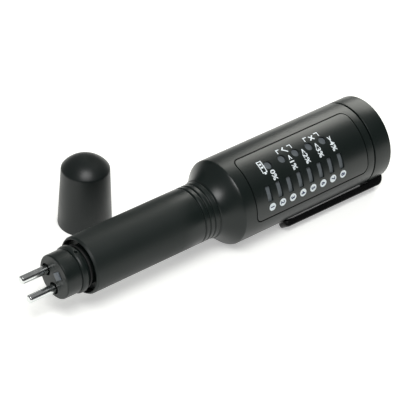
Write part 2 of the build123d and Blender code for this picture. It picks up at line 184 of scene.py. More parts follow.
def prism(name, outline, low, high):
    """An outline in X and Y carried from one height to another."""
    count = len(outline)
    points = [(x, y, z) for z in (low, high) for x, y in outline]
    sides = [[k, (k + 1) % count, (k + 1) % count + count, k + count] for k in range(count)]
    return from_points(name, points, [range(count), range(count, 2 * count), *sides])


def oblong(length, width, corner):
    """A rounded rectangle's outline about the origin."""
    x, y = length / 2, width / 2
    return soften([(-x, -y, corner), (x, -y, corner), (x, y, corner), (-x, y, corner)])


def disc(radius, count=48):
    """A circle's outline about the origin."""
    ways = [2 * pi * k / count for k in range(count)]
    return [(radius * cos(way), radius * sin(way)) for way in ways]


def radial(angle, along):
    """Carries a shape drawn on +Z to an angle round the body and a station along it."""
    return Matrix.Rotation(radians(-angle), 4, "X") @ Matrix.Translation((along, 0, 0))


def moved(obj, matrix):
    """Puts a place, turn or scale into an object's mesh."""
    obj.data.transform(matrix)
    return obj


def carve(piece, tools, how="DIFFERENCE"):
    """Cuts tools out of a piece, or keeps what is inside them, and removes them."""
    for tool in tools:
        cut = piece.modifiers.new("cut", "BOOLEAN")
        cut.operation = how
        cut.object = tool
        cut.solver = "EXACT"
    settle(piece)
    for tool in tools:
        bpy.data.objects.remove(tool)
    return finished(piece)


def joined(name, objects):
    """One object from several meshes."""
    shape = bmesh.new()
    for obj in objects:
        shape.from_mesh(obj.data)
        bpy.data.objects.remove(obj)
    mesh = bpy.data.meshes.new(name)
    shape.to_mesh(mesh)
    shape.free()
    obj = bpy.data.objects.new(name, mesh)
    bpy.context.scene.collection.objects.link(obj)
    return finished(obj)


def tube_sector(name, inner, outer, start, end, half_angle, step=0.5):
    """Part of a tube about X, either side of +Z."""
    count = round(2 * half_angle / step)
    points, faces = [], []
    for k in range(count + 1):
        way = radians(-half_angle + 2 * half_angle * k / count)
        for along, radius in ((start, inner), (end, inner), (end, outer), (start, outer)):
            points.append((along, radius * sin(way), radius * cos(way)))
    for k in range(count):
        for side in range(4):
            after = (side + 1) % 4
            faces.append([4 * k + side, 4 * k + after, 4 * k + 4 + after, 4 * k + 4 + side])
    faces += [range(4), range(4 * count, 4 * count + 4)]
    return from_points(name, points, faces)


def wrapped(obj, angle, along, radius):
    """Bends a flat print round the body. Its X runs down the side and its Y to the tail."""
    for vertex in obj.data.vertices:
        x, y, z = vertex.co
        way = radians(angle) - x / radius
        reach = radius + z
        vertex.co = (along + y, reach * sin(way), reach * cos(way))
    return finished(obj)


def ribbon(points, width, closed=False):
    """A flat stroke of even width along points, cut into short lengths so that it can bend."""
    fine = []
    runs = list(zip(points, points[1:] + points[:1]))
    for start, end in runs if closed else runs[:-1]:
        count = max(1, ceil(hypot(end[0] - start[0], end[1] - start[1]) / 0.4))
        fine += [Vector(start).lerp(Vector(end), k / count) for k in range(count)]
    if not closed:
        fine.append(Vector(points[-1]))
    total = len(fine)
    verts, faces = [], []
    for i, here in enumerate(fine):
        back = fine[i - 1] if i or closed else here * 2 - fine[1]
        ahead = fine[(i + 1) % total] if i < total - 1 or closed else here * 2 - fine[i - 1]
        one = (here - back).normalized()
        two = (ahead - here).normalized()
        bisector = (one + two).normalized()
        side = Vector((-bisector.y, bisector.x)) * (width / 2 / max(0.5, bisector.dot(one)))
        for lift in (0, FILM):
            verts += [(*(here + side), lift), (*(here - side), lift)]
    for i in range(total if closed else total - 1):
        a, b = 4 * i, 4 * ((i + 1) % total)
        for p, q in ((0, 1), (1, 3), (3, 2), (2, 0)):
            faces.append([a + p, a + q, b + q, b + p])
    if not closed:
        last = 4 * (total - 1)
        faces += [[0, 1, 3, 2], [last, last + 1, last + 3, last + 2]]
    return from_points("stroke", verts, faces)


def lettered(text, height, thicken=0.0, stretch=1.0):
    """Plain sans text as a thin mesh, centred, with figures of the given height."""
    curve = bpy.data.curves.new("figures", "FONT")
    curve.body = text
    curve.extrude = 0.01
    curve.offset = thicken
    curve.resolution_u = 4
    maker = bpy.data.objects.new("figures", curve)
    bpy.context.scene.collection.objects.link(maker)
    graph = bpy.context.evaluated_depsgraph_get()
    mesh = bpy.data.meshes.new_from_object(maker.evaluated_get(graph))
    bpy.data.objects.remove(maker)
    xs = [v.co.x for v in mesh.vertices]
    ys = [v.co.y for v in mesh.vertices]
    scale = height / (max(ys) - min(ys))
    for vertex in mesh.vertices:
        vertex.co.x = (vertex.co.x - (max(xs) + min(xs)) / 2) * scale * stretch
        vertex.co.y = (vertex.co.y - (max(ys) + min(ys)) / 2) * scale
        vertex.co.z = FILM if vertex.co.z > 0 else 0.0
    obj = bpy.data.objects.new("figures", mesh)
    bpy.context.scene.collection.objects.link(obj)
    return finished(obj)


# ------------------------------------------------------------------ nodes


def add(tree, kind, values=None, links=None, **settings):
    """Adds a node with its settings, its unlinked sockets' values and its links."""
    node = tree.nodes.new(kind)
    for key, value in settings.items():
        setattr(node, key, value)
    for socket, value in (values or {}).items():
        node.inputs[socket].default_value = value
    for socket, source in (links or {}).items():
        tree.links.new(source, node.inputs[socket])
    return node


def colour(code):
    """A hex sRGB colour as linear values."""
    parts = [int(code[i : i + 2], 16) / 255 for i in (0, 2, 4)]
    return [p / 12.92 if p <= 0.04045 else ((p + 0.055) / 1.055) ** 2.4 for p in parts] + [1.0]


def new_material(name):
    """A material with an empty node tree, and that tree."""
    made = bpy.data.materials.new(name)
    made.use_nodes = True
    made.node_tree.nodes.clear()
    return made, made.node_tree


def finish_of(name, base, other, roughness, patch, grain, depth, coarser=(), **sockets):
    """A surface with two close colours in soft patches and a fine grain, sizes in mm.

    roughness is (low, high): the patches carry it too, as handling and moulding do.
    coarser holds (start, end, more): the finish is rougher by more ahead of the start of a
    stretch along the tester, and by nothing past its end.
    """
    made, tree = new_material(name)
    place = add(tree, "ShaderNodeTexCoord").outputs["Object"]
    patches = add(
        tree,
        "ShaderNodeTexNoise",
        {"Scale": 1 / (patch * MM), "Detail": 3.0, "Roughness": 0.55},
        {"Vector": place},
    ).outputs["Fac"]
    shade = add(
        tree,
        "ShaderNodeMix",
        {6: colour(base), 7: colour(other)},
        {"Factor": patches},
        data_type="RGBA",
    )
    rough = add(
        tree,
        "ShaderNodeMapRange",
        {"From Min": 0.3, "From Max": 0.7, "To Min": roughness[0], "To Max": roughness[1]},
        {"Value": patches},
    ).outputs["Result"]
    for start, end, more in coarser:
        along = add(tree, "ShaderNodeSeparateXYZ", None, {"Vector": place}).outputs["X"]
        ramp = add(
            tree,
            "ShaderNodeMapRange",
            {
                "From Min": NOSE_FACE_X + start * MM,
                "From Max": NOSE_FACE_X + end * MM,
                "To Min": more,
                "To Max": 0.0,
            },
            {"Value": along},
        ).outputs["Result"]
        rough = add(
            tree, "ShaderNodeMath", None, {0: rough, 1: ramp}, operation="ADD"
        ).outputs[0]
    grains = add(
        tree,
        "ShaderNodeTexNoise",
        {"Scale": 1 / (grain * MM), "Detail": 2.0},
        {"Vector": place},
    ).outputs["Fac"]
    bump = add(
        tree,
        "ShaderNodeBump",
        {"Strength": 1.0, "Distance": depth * MM},
        {"Height": grains},
    )
    shader = add(
        tree,
        "ShaderNodeBsdfPrincipled",
        sockets,
        {
            "Base Color": shade.outputs[2],
            "Roughness": rough,
            "Normal": bump.outputs["Normal"],
        },
    )
    add(tree, "ShaderNodeOutputMaterial", None, {"Surface": shader.outputs["BSDF"]})
    return made


# Black ABS off a spark-eroded mould: a satin black whose fine grain blurs what it mirrors.
# The grip is eroded coarser than the body, so the softbox is only a faint band on it, and
# the flare between them is a little smoother, so that it carries a sharper streak.
body_plastic = finish_of(
    "satin black moulded ABS",
    "101917",
    "151d1b",
    (0.33, 0.39),
    14,
    0.35,
    0.006,
    coarser=((46, 53, 0.22), (67, 73, -0.05)),
    IOR=1.42,
)
# The same coarse eroded ABS as the grip, for the piece that carries the pins.
nose_plastic = finish_of(
    "matt black moulded ABS", "0f1816", "141c1a", (0.36, 0.44), 9, 0.3, 0.004, IOR=1.42
)
# Black polypropylene: a touch waxier and softer in its shine than the body.
cap_plastic = finish_of(
    "waxy black polypropylene", "101716", "151b1a", (0.36, 0.44), 7, 0.4, 0.006, IOR=1.42
)
# Springy black nylon, as deep and even a black as the clip of a pen.
clip_plastic = finish_of(
    "deep black nylon", "070808", "0a0b0b", (0.22, 0.30), 6, 0.3, 0.003, IOR=1.45
)
# Screen-printed polycarbonate film, black from behind, smooth in front.
panel_film = finish_of(
    "black printed polycarbonate film", "101917", "141c1a", (0.32, 0.37), 18, 0.5, 0.002, IOR=1.5
)
# Smoked diffusing polycarbonate: grey and milky when the lamp behind it is off.
window_plastic = finish_of(
    "smoked diffusing polycarbonate", "5d6367", "6a7175", (0.35, 0.5), 1.5, 0.2, 0.002, IOR=1.55
)
# Frosted acrylic that carries light to the liquid, pale and cloudy.
light_block_plastic = finish_of(
    "frosted acrylic", "585f66", "697077", (0.4, 0.55), 1.2, 0.15, 0.004, IOR=1.49
)
# Nitrile rubber: dead black, hardly shiny.
seal_rubber = finish_of(
    "black nitrile rubber", "070808", "0c0d0d", (0.6, 0.75), 2, 0.2, 0.004, IOR=1.5
)
# Soft silicone rubber for the button, a little dusty.
button_rubber = finish_of(
    "soft black silicone rubber", "131515", "1c1f1f", (0.55, 0.7), 2.5, 0.2, 0.006, IOR=1.42
)
# Screen ink: chalky white, with slight thin places.
white_ink = finish_of(
    "white screen ink", "e2ecf1", "f1f8fb", (0.5, 0.65), 0.8, 0.12, 0.002, IOR=1.5
)
# Screen ink: dark blue figures.
blue_ink = finish_of(
    "dark blue screen ink", "1b2a4d", "243560", (0.5, 0.65), 0.8, 0.12, 0.002, IOR=1.5
)
# Glass-filled epoxy laminate under green solder mask, with its weave just felt.
board_laminate = finish_of(
    "green solder mask on laminate", "14472c", "1b5a38", (0.3, 0.42), 3, 0.3, 0.006, IOR=1.5
)
chip_epoxy = finish_of(
    "black moulding epoxy", "17181a", "1f2022", (0.55, 0.7), 1, 0.12, 0.004, IOR=1.52
)
carrier_plastic = finish_of(
    "matte black ABS", "1a1b1c", "222425", (0.5, 0.62), 8, 0.4, 0.01, IOR=1.5
)
switch_plastic = finish_of(
    "glass-filled black nylon", "151617", "1f2021", (0.45, 0.6), 1.5, 0.2, 0.006, IOR=1.52
)
# Drawn spring wire, its faint die lines blurred along it.
spring_steel = finish_of(
    "drawn spring steel", "a9abae", "c3c5c7", (0.28, 0.4), 1, 0.1, 0.002, Metallic=1.0
)
# Bright nickel plate on brass, buffed, so that it mirrors table and room with a soft edge.
pin_chrome = finish_of(
    "bright nickel plate", "d3d7d6", "e6e8e7", (0.14, 0.2), 3, 0.25, 0.0002, Metallic=1.0
)
lead_red = finish_of("red silicone insulation", "8e1712", "a31f18", (0.5, 0.6), 4, 0.3, 0.004)
lead_black = finish_of("black silicone insulation", "141414", "1d1d1d", (0.5, 0.6), 4, 0.3, 0.004)
cell_jacket = finish_of("printed foil cell jacket", "1f2c5c", "273870", (0.22, 0.32), 9, 0.4, 0.002)
contact_brass = finish_of(
    "rolled brass", "c0a158", "d1b46b", (0.25, 0.38), 2, 0.12, 0.002, Metallic=1.0
)
led_package = finish_of("white LED package", "cfd0c4", "e1e2d8", (0.35, 0.5), 0.6, 0.1, 0.002)

SLOT_FINISH = {
    "body_plastic": body_plastic,
    "nose_plastic": nose_plastic,
    "cap_plastic": cap_plastic,
    "clip_plastic": clip_plastic,
    "panel_film": panel_film,
    "window_plastic": window_plastic,
    "light_block_plastic": light_block_plastic,
    "seal_rubber": seal_rubber,
    "button_rubber": button_rubber,
    "board_laminate": board_laminate,
    "chip_epoxy": chip_epoxy,
    "carrier_plastic": carrier_plastic,
    "switch_plastic": switch_plastic,
    "spring_steel": spring_steel,
    "pin_chrome": pin_chrome,
    "lead_red": lead_red,
    "lead_black": lead_black,
    "cell_jacket": cell_jacket,
    "contact_brass": contact_brass,
    "led_package": led_package,
}

for part in frame["record"]["subparts"]:
    mesh = frame["nodes"][part["node"]].data
    mesh.materials.clear()
    mesh.materials.append(SLOT_FINISH[part["material_slot"]])


def placed(piece, body, slot, nodes, matrix=LAY, finish=None, across=None):
    """Lays a finished piece in the frame, on a body, in place of CAD nodes.

    With across, the piece goes on no body and keeps its place in its mesh; neither across's two
    points nor body is read then.
    """
    moved(piece, matrix)
    piece.data.materials.clear()
    piece.data.materials.append(finish or SLOT_FINISH[slot])
    if across:
        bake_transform(piece)
    else:
        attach(piece, body)
    if nodes:
        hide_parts(*nodes)
    return piece


# ------------------------------------------------------------------ repeated things


def new_tree(name, inputs):
    """A Geometry Nodes tree with a mesh in and out and the named inputs."""
    tree = bpy.data.node_groups.new(name, "GeometryNodeTree")
    tree.interface.new_socket("Geometry", in_out="INPUT", socket_type="NodeSocketGeometry")
    for label, kind, default in inputs:
        socket = tree.interface.new_socket(label, in_out="INPUT", socket_type=kind)
        if default is not None:
            socket.default_value = default
    tree.interface.new_socket("Geometry", in_out="OUTPUT", socket_type="NodeSocketGeometry")
    return tree, tree.nodes.new("NodeGroupInput")


def end_tree(tree, geometry, given):
    """Ends a tree as every one here ends: real meshes, with the material it was given."""
    real = add(tree, "GeometryNodeRealizeInstances", None, {"Geometry": geometry})
    dressed = add(
        tree,
        "GeometryNodeSetMaterial",
        None,
        {"Geometry": real.outputs[0], "Material": given.outputs["Material"]},
    )
    add(tree, "NodeGroupOutput", None, {0: dressed.outputs[0]})
    return tree


def row_tree():
    """Copies a shape along the body: a row of windows, or of the plugs that cut them."""
    tree, given = new_tree(
        "row along the body",
        [
            ("Count", "NodeSocketInt", 5),
            ("Pitch", "NodeSocketFloat", 5.0),
            ("Material", "NodeSocketMaterial", None),
        ],
    )
    step = add(tree, "ShaderNodeCombineXYZ", None, {"X": given.outputs["Pitch"]})
    line = add(
        tree,
        "GeometryNodeMeshLine",
        None,
        {"Count": given.outputs["Count"], "Offset": step.outputs[0]},
    )
    copies = add(
        tree,
        "GeometryNodeInstanceOnPoints",
        None,
        {"Points": line.outputs[0], "Instance": given.outputs["Geometry"]},
    )
    return end_tree(tree, copies.outputs[0], given)


def coil_tree():
    """A spring: a wire of round section wound on a helix about Z."""
    tree, given = new_tree(
        "coil spring",
        [
            ("Turns", "NodeSocketFloat", 3.0),
            ("Radius", "NodeSocketFloat", 1.5),
            ("Length", "NodeSocketFloat", 3.0),
            ("Wire", "NodeSocketFloat", 0.25),
            ("Material", "NodeSocketMaterial", None),
        ],
    )
    path = add(
        tree,
        "GeometryNodeCurveSpiral",
        {"Resolution": 40},
        {
            "Rotations": given.outputs["Turns"],
            "Start Radius": given.outputs["Radius"],
            "End Radius": given.outputs["Radius"],
            "Height": given.outputs["Length"],
        },
    )
    section = add(
        tree,
        "GeometryNodeCurvePrimitiveCircle",
        {"Resolution": 12},
        {"Radius": given.outputs["Wire"]},
    )
    wire = add(
        tree,
        "GeometryNodeCurveToMesh",
        {"Fill Caps": True},
        {"Curve": path.outputs[0], "Profile Curve": section.outputs[0]},
    )
    return end_tree(tree, wire.outputs[0], given)


ROW = row_tree()
COIL = coil_tree()


def grown(obj, tree, **values):
    """Runs a tree on an object with its inputs set by their identifiers, and keeps the mesh."""
    modifier = obj.modifiers.new("grown", "NODES")
    modifier.node_group = tree
    given = [item for item in tree.interface.items_tree if item.in_out == "INPUT"]
    sockets = {item.name: item.identifier for item in given}
    for label, value in values.items():
        modifier[sockets[label]] = value
    return finished(settle(obj))


def row(shape, count, pitch, first, angle):
    """A row of copies of a shape drawn on +Z, carried round the body."""
    grown(shape, ROW, Count=count, Pitch=pitch)
    return moved(shape, radial(angle, first))


# ------------------------------------------------------------------ housing

BARREL_R = 10.0
BARREL_MOUTH_R = 9.25
MOUTH_END = 13.0  # the open mouth round the nose's neck ends here
WALL = 1.6
FLARE_START = 59.4
FLARE_END = 68.8
RIB_PITCH = 2.05
RIBS = [FLARE_START - 3.9 + RIB_PITCH * k for k in range(4)]
RIB_HALF = 0.5
RIB_DEPTH = 0.5
RIB_STEP = 0.075  # how finely the outline follows them


def flare():
    """(station, radius) down the swell from barrel to body, on a smooth S."""
    ends = [
        Vector((FLARE_START, BARREL_R)),
        Vector((FLARE_START + 5.2, BARREL_R)),
        Vector((FLARE_END - 1.3, BODY_R)),
        Vector((FLARE_END, BODY_R)),
    ]
    steps = 60
    path = []
    for k in range(steps + 1):
        t = k / steps
        shares = ((1 - t) ** 3, 3 * t * (1 - t) ** 2, 3 * t * t * (1 - t), t**3)
        path.append(sum((p * s for p, s in zip(ends, shares)), Vector((0, 0))))
    return path


FLARE = flare()


def skin_radius(along):
    """The barrel's and flare's own radius at a station, before the ribs are cut."""
    if along <= FLARE_START:
        return BARREL_R
    for here, ahead in zip(FLARE, FLARE[1:]):
        if along <= ahead.x:
            share = (along - here.x) / (ahead.x - here.x)
            return here.y + (ahead.y - here.y) * share
    return BODY_R


def ribbed():
    """The outline over the ribs: round-bottomed grooves with softened lips."""
    path = []
    along = RIBS[0] - 1.0
    while along < RIBS[-1] + 1.1:
        depth = 0.0
        for middle in RIBS:
            off = min(1.0, abs(along - middle) / RIB_HALF)
            depth = max(depth, RIB_DEPTH * (1 + cos(pi * off)) / 2)
        path.append((along, skin_radius(along) - depth))
        along += RIB_STEP
    return path


ribs = ribbed()
housing = turned(
    "housing_shell",
    [
        (BARREL_START + 0.35, BARREL_MOUTH_R),
        (BARREL_START + 0.35, 9.6, 0.08),
        (BARREL_START + 1.1, BARREL_R, 0.15),
        *ribs,
        *[tuple(p) for p in FLARE if p.x > ribs[-1][0] + 0.05],
        (HOUSING_END, BODY_R, 0.2),
        (HOUSING_END, BODY_R - WALL),
        (FLARE_END + WALL, BODY_R - WALL),
        (FLARE_START + 2 * WALL, BARREL_R - WALL),
        (MOUTH_END, BARREL_R - WALL),
        (MOUTH_END, BARREL_MOUTH_R),
    ],
)
PANEL_MIDDLE = (PANEL_START + PANEL_END) / 2
PANEL_HALF = radians(46.5)
PANEL_CORNER = 2.0
PANEL_GAP = 0.38
PANEL_FLOOR = BODY_R - 0.4
MOAT_FLOOR = BODY_R - 0.95  # the gap round the film is cut deeper, so that it is a dark line
SECTOR = 52  # degrees either side of the panel's middle, past its edges
PLUG_LOW, PLUG_HIGH = 12, 18  # radii that a plug reaches between, through the body's wall


def panel_plug(slack):
    """A block of the panel's outline, made wider all round by the slack."""
    length = PANEL_END - PANEL_START + 2 * slack
    width = 2 * BODY_R * sin(PANEL_HALF) + 2 * slack
    plug = prism("panel_plug", oblong(length, width, PANEL_CORNER + slack), 5, BODY_R + 2)
    return moved(plug, Matrix.Translation((PANEL_MIDDLE, 0, 0)))


recess = tube_sector("recess", PANEL_FLOOR, BODY_R + 1, PANEL_START - 1, PANEL_END + 1, SECTOR)
carve(recess, [panel_plug(PANEL_GAP)], "INTERSECT")
moat = tube_sector("moat", MOAT_FLOOR, BODY_R + 1, PANEL_START - 1, PANEL_END + 1, SECTOR)
carve(moat, [panel_plug(PANEL_GAP)], "INTERSECT")
carve(moat, [panel_plug(0.0)])

# ------------------------------------------------------------------ display panel

LAMPS = {"count": 5, "pitch": 6.13, "first": PANEL_START + 10.3, "angle": 21.3}
BARS = {"count": 8, "pitch": 4.62, "first": PANEL_START + 6.1, "angle": -13.5}
LAMP_R = 1.5
BAR_WIDTH, BAR_LENGTH, BAR_CORNER = 2.1, 5.6, 0.3
PANE_SLIP = 0.02
WINDOW_TOP = BODY_R - 0.8


def window_plugs():
    """The rows of plugs that cut every window."""
    lamp = prism("lamp_plug", disc(LAMP_R), PLUG_LOW, PLUG_HIGH)
    bar = prism("bar_plug", oblong(BAR_WIDTH, BAR_LENGTH, BAR_CORNER), PLUG_LOW, PLUG_HIGH)
    return [row(lamp, **LAMPS), row(bar, **BARS)]


carve(housing, [recess, moat, *window_plugs()])
placed(housing, "housing", "body_plastic", ["housing"])

panel = tube_sector(
    "panel_film", PANEL_FLOOR + 0.02, BODY_R, PANEL_START - 1, PANEL_END + 1, SECTOR
)
carve(panel, [panel_plug(0.0)], "INTERSECT")
carve(panel, window_plugs())
placed(panel, "housing", "panel_film", ["display_panel"])


def panes(name, outline, places):
    """Window panes: the row of plugs, cut to a shell that stands below the film's face."""
    made = row(prism(name, outline, PLUG_LOW, PLUG_HIGH), **places)
    shell = tube_sector("shell", BODY_R - WALL, WINDOW_TOP, PANEL_START, PANEL_END, SECTOR, 1)
    return carve(made, [shell], "INTERSECT")


lamp_panes = panes("lamp_windows", disc(LAMP_R - PANE_SLIP), LAMPS)
bar_outline = oblong(BAR_WIDTH - 2 * PANE_SLIP, BAR_LENGTH - 2 * PANE_SLIP, BAR_CORNER - PANE_SLIP)
bar_panes = panes("bar_windows", bar_outline, BARS)
placed(lamp_panes, "housing", "window_plastic", [f"lamp_lens_{i}" for i in range(1, 6)])
placed(bar_panes, "housing", "window_plastic", [f"scale_lens_{i}" for i in range(1, 9)])

# ------------------------------------------------------------------ print on the panel

PRINT_R = BODY_R + 0.012
FIGURE_HEIGHT = 1.9
BOLDER, WIDER = 0.025, 1.25  # the scale's figures are bold and wide
STROKE = 0.34
SIGN_STROKE = 0.45
CHARGE_STROKE = 0.95
BATTERY_ANGLE, BATTERY_ALONG = 21, 81.2
BRACKET_ANGLE = 34.5
print_pieces = []
for text, along, middle in (
    ("0%", 84.0, 6.5),
    ("<1%", 93.0, 11.5),
    ("<2%", 99.0, 11.5),
    ("<3%", 105.0, 11.5),
    (">4%", 111.2, 12.0),
):
    label = lettered(text, FIGURE_HEIGHT, BOLDER, WIDER)
    print_pieces.append(wrapped(label, middle, along, PRINT_R))


def drawn(points, angle, along, closed=False, width=STROKE):
    """Adds a stroke to the print, wrapped round the body."""
    print_pieces.append(wrapped(ribbon(points, width, closed), angle, along, PRINT_R))


# a plain battery: case, nub and two bars of charge
battery = {"angle": BATTERY_ANGLE, "along": BATTERY_ALONG}
drawn([(-2.4, -0.85), (1.9, -0.85), (1.9, 0.85), (-2.4, 0.85)], closed=True, **battery)
drawn([(2.05, 0), (2.6, 0)], width=0.8, **battery)
for low, high in ((-1.6, -0.9), (-0.4, 0.3)):
    drawn([(low, 0), (high, 0)], width=CHARGE_STROKE, **battery)
# a tick for the second and third lamps and a cross for the fourth and fifth
drawn([(-1.1, 0.1), (-0.3, -0.75), (1.2, 0.95)], 31, 93.0, width=SIGN_STROKE)
drawn([(-0.85, -0.85), (0.85, 0.85)], 30.5, 105.2, width=SIGN_STROKE)
drawn([(-0.85, 0.85), (0.85, -0.85)], 30.5, 105.2, width=SIGN_STROKE)
# brackets that lead from each sign to its lamps
for near, far in ((91.2, 89.93), (94.7, 96.06), (103.6, 102.19), (106.9, 108.32)):
    drawn([(0, near - far), (0, 0), (1.5, 0)], BRACKET_ANGLE, far)

# discs numbered one to eight under the bars
DISC_ANGLE = -32.2
DISC_R = 1.4
FIRST_DISC, DISC_PITCH = 80.1, 4.57
discs, numbers = [], []
for k in range(8):
    along = FIRST_DISC + DISC_PITCH * k
    discs.append(wrapped(prism("disc", disc(DISC_R), 0, FILM), DISC_ANGLE, along, PRINT_R))
    figure = lettered(str(k + 1), 1.6, 0.03, 1.1)
    numbers.append(wrapped(figure, DISC_ANGLE, along, PRINT_R + 1.5 * FILM))
scale_print = joined("scale_print", print_pieces)
number_discs = joined("number_discs", discs)
disc_numbers = joined("disc_numbers", numbers)
placed(scale_print, "housing", "panel_film", [], finish=white_ink)
placed(number_discs, "housing", "panel_film", [], finish=white_ink)
placed(disc_numbers, "housing", "panel_film", [], finish=blue_ink)

# ------------------------------------------------------------------ nose, pins

NOSE_R = 7.7
NOSE_FLOOR = 12.0  # solid up to here, hollow behind
NECK_R = 6.9  # the dark groove between the bead and the barrel
BEAD_FOOT_R = NOSE_R - 0.25
BEAD_R = 8.25
BEAD_START = 6.0
BEAD_END = 8.5
SPIGOT_R = 8.35


def bead():
    """The collar's outline: a full, rounded bead that a lamp draws a streak along."""
    steps, fullness = 24, 2.6
    path = []
    for k in range(steps + 1):
        across = -cos(pi * k / steps)
        height = (1 - abs(across) ** fullness) ** (1 / fullness)
        along = BEAD_START + (BEAD_END - BEAD_START) * (1 + across) / 2
        path.append((along, BEAD_FOOT_R + (BEAD_R - BEAD_FOOT_R) * height))
    return path


nose = turned(
    "nose_cone",
    [
        (0, 0),
        (0, NOSE_R - 0.35, 0.12),
        (0.35, NOSE_R, 0.3),
        (BEAD_START - 0.35, NOSE_R, 0.1),
        (BEAD_START - 0.3, BEAD_FOOT_R, 0.05),
        *bead(),
        (BEAD_END, NECK_R),
        (MOUTH_END - 0.2, NECK_R),
        (MOUTH_END - 0.2, SPIGOT_R),
        (NOSE_END, SPIGOT_R),
        (NOSE_END, SPIGOT_R - WALL),
        (NOSE_FLOOR, SPIGOT_R - WALL),
        (NOSE_FLOOR, 0),
    ],
)
PINS = {1: -3.3, 2: 3.3}
PIN_DROP = 2.7
PIN_R = 1.5
PIN_ROOT_R = 1.1
PIN_SHANK_R = 0.8
PIN_SHANK_END = NOSE_FLOOR + 5.0
PIN_BEVEL = 0.35
WELL_DEPTH = 0.9
BLOCK_RISE = 2.6
along_x = Matrix.Rotation(radians(90), 4, "Y")


def in_face(shape, y, z):
    """Turns a shape drawn on +Z into the nose's face."""
    return moved(shape, Matrix.Translation((0, y, z)) @ along_x)


wells = [in_face(prism("well", disc(2.15), -1, WELL_DEPTH), y, -PIN_DROP) for y in PINS.values()]
pocket = in_face(prism("pocket", oblong(3.1, 3.1, 0.2), -1, 1.0), 0, BLOCK_RISE)
pip_place = radial(37, 7.3) @ Matrix.Translation((0, 0, BEAD_R - 0.1))
carve(nose, [*wells, pocket, moved(prism("pip", disc(0.62), -0.6, 1), pip_place)])
pip_ring = turned("pip_ring", [(-0.3, 0.6), (0.14, 0.6, 0.06), (0.14, 0.98, 0.12), (-0.3, 0.98)])
moved(pip_ring, pip_place @ Matrix.Rotation(radians(-90), 4, "Y"))
nose = joined("nose_cone", [nose, pip_ring])
placed(nose, "housing", "nose_plastic", ["nose"])

for number, side in PINS.items():
    pin = turned(
        f"pin_{number}",
        [
            (PIN_TIP, 0),
            (PIN_TIP, PIN_R - PIN_BEVEL, 0.1),
            (PIN_TIP + PIN_BEVEL, PIN_R, 0.2),
            (WELL_DEPTH, PIN_R),
            (WELL_DEPTH, PIN_ROOT_R),
            (NOSE_FLOOR, PIN_ROOT_R),
            (NOSE_FLOOR, PIN_SHANK_R),
            (PIN_SHANK_END, PIN_SHANK_R, 0.2),
            (PIN_SHANK_END, 0),
        ],
    )
    moved(pin, Matrix.Translation((0, side, -PIN_DROP)))
    placed(pin, "housing", "pin_chrome", [f"probe_pin_{number}"])

block = in_face(prism("light_block_face", oblong(2.9, 2.9, 0.35), -0.4, 0.9), 0, BLOCK_RISE)
bevel = block.modifiers.new("edge", "BEVEL")
bevel.width = 0.25
bevel.segments = 3
finished(settle(block))
placed(block, "housing", "light_block_plastic", ["light_block"])

SEAL_SPAN = (9.3, 10.2)
SEAL_RADII = (6.95, 7.6)
seal = turned(
    "nose_o_ring",
    [
        (SEAL_SPAN[0], SEAL_RADII[0], 0.3),
        (SEAL_SPAN[0], SEAL_RADII[1], 0.3),
        (SEAL_SPAN[1], SEAL_RADII[1], 0.3),
        (SEAL_SPAN[1], SEAL_RADII[0], 0.3),
    ],
)
placed(seal, "housing", "seal_rubber", ["nose_seal"])

# ------------------------------------------------------------------ tail cap, button, springs

BUTTON_R = 4.0
BUTTON_HOLE_R = BUTTON_R + 0.05
BUTTON_FLANGE_R = 5.5
SPIGOT_START = TAIL_START - 8.0
TAIL_SPIGOT_R = 13.55
TAIL_BORE_R = 12.05
SEAL_FLOOR_R = 12.69
SEAL_GROOVE = (HOUSING_END - 3.37, HOUSING_END - 2.43)
SWITCH_ROOM_R = 10.05
SWITCH_ROOM_START = 127.0
TAIL_FLOOR = TAIL_END - 2.0
tail = turned(
    "tail_cap_shell",
    [
        (SPIGOT_START, TAIL_BORE_R),
        (SPIGOT_START, TAIL_SPIGOT_R, 0.3),
        (SEAL_GROOVE[0], TAIL_SPIGOT_R),
        (SEAL_GROOVE[0], SEAL_FLOOR_R),
        (SEAL_GROOVE[1], SEAL_FLOOR_R),
        (SEAL_GROOVE[1], TAIL_SPIGOT_R),
        (TAIL_START, TAIL_SPIGOT_R),
        (TAIL_START, BODY_R, 0.2),
        (TAIL_END, BODY_R, 0.6),
        (TAIL_END, BUTTON_HOLE_R, 0.3),
        (TAIL_FLOOR, BUTTON_HOLE_R),
        (TAIL_FLOOR, SWITCH_ROOM_R),
        (SWITCH_ROOM_START, SWITCH_ROOM_R),
        (SWITCH_ROOM_START, TAIL_BORE_R),
    ],
)
CLIP_SEAT = BODY_R - 0.4
seat_outline = [
    (CLIP_END - 6.2, -BODY_R - 1),
    (TAIL_END + 1, -BODY_R - 1),
    (TAIL_END + 1, -CLIP_SEAT),
    (CLIP_END - 6.2, -CLIP_SEAT),
]
carve(tail, [prism("seat", seat_outline, -2.8, 2.8)])
placed(tail, "tail_cap", "body_plastic", ["tail_cap"])

button = turned(
    "button_pad",
    [
        (TAIL_END - 3.2, 0),
        (TAIL_END - 3.2, BUTTON_FLANGE_R, 0.2),
        (TAIL_END - 2.1, BUTTON_FLANGE_R, 0.2),
        (TAIL_END - 2.1, BUTTON_R),
        (TAIL_END - 0.2, BUTTON_R, 0.5),
        (TAIL_END - 0.2, 2.9, 0.4),
        (TAIL_END - 0.6, 2.4, 0.6),
        (TAIL_END - 0.6, 0),
    ],
)
placed(button, "push_button", "button_rubber", ["push_button"])

WIRE_R = 0.25


